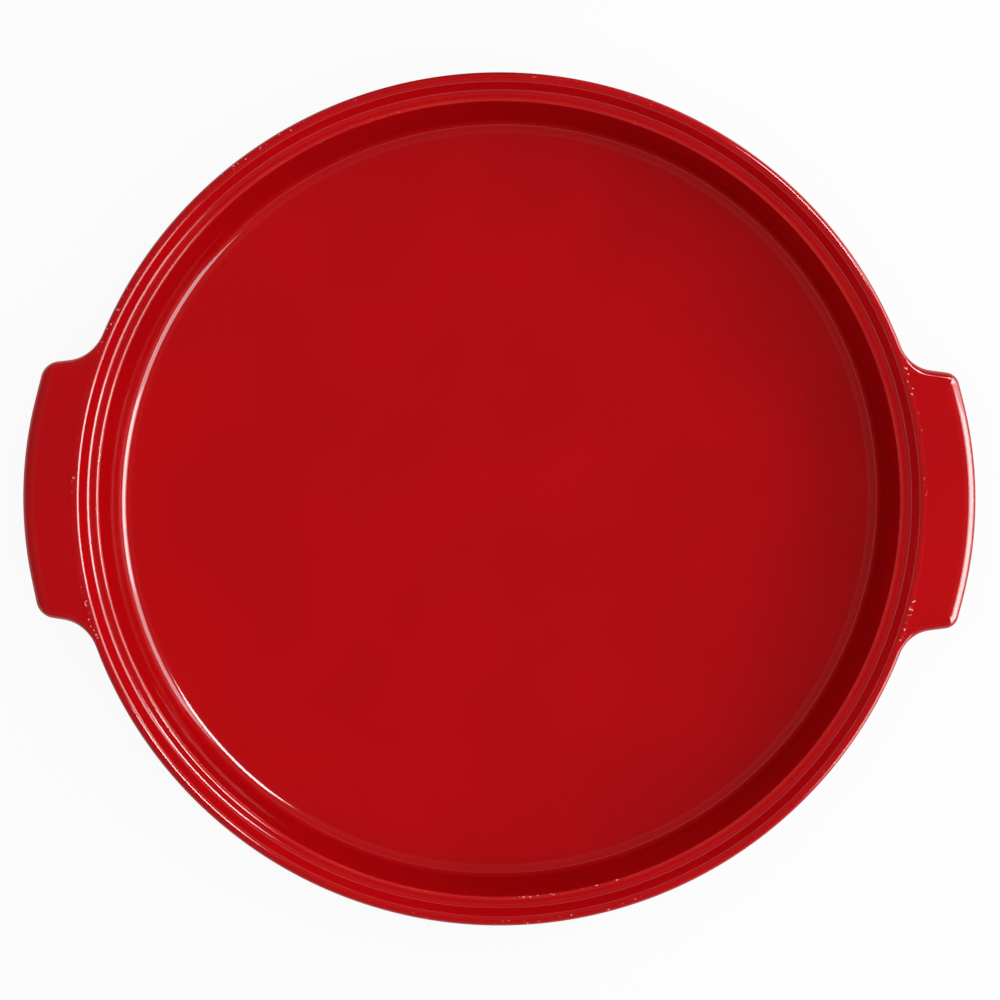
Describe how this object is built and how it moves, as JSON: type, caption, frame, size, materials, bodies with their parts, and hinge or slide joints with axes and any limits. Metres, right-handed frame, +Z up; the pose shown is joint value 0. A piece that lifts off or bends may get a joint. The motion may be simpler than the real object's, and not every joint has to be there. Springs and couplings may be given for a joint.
{
  "type": "bread cloche",
  "caption": "Two-piece round bread baker: a shallow dish with a stepped rim and tab handles, and a domed lid with a knob, set down behind it.",
  "frame": {"origin": "under the middle of the base's round dish, on the surface that the base and the lid stand on", "axes": "+Z up, +X towards the right handle, +Y towards the lid that stands behind the base"},
  "size_m": [0.3782, 0.7051, 0.1171],
  "materials": {
    "base_glaze": "glossy",
    "lid_glaze": "glossy"
  },
  "bodies": {
    "base": {"base": "base_glaze"},
    "lid": {"lid": "lid_glaze"}
  },
  "joints": [
    {"name": "lid_lift", "type": "slide", "parent": "base", "child": "lid", "axis": [0, 0, 1], "range_m": [0, 0.2]}
  ]
}
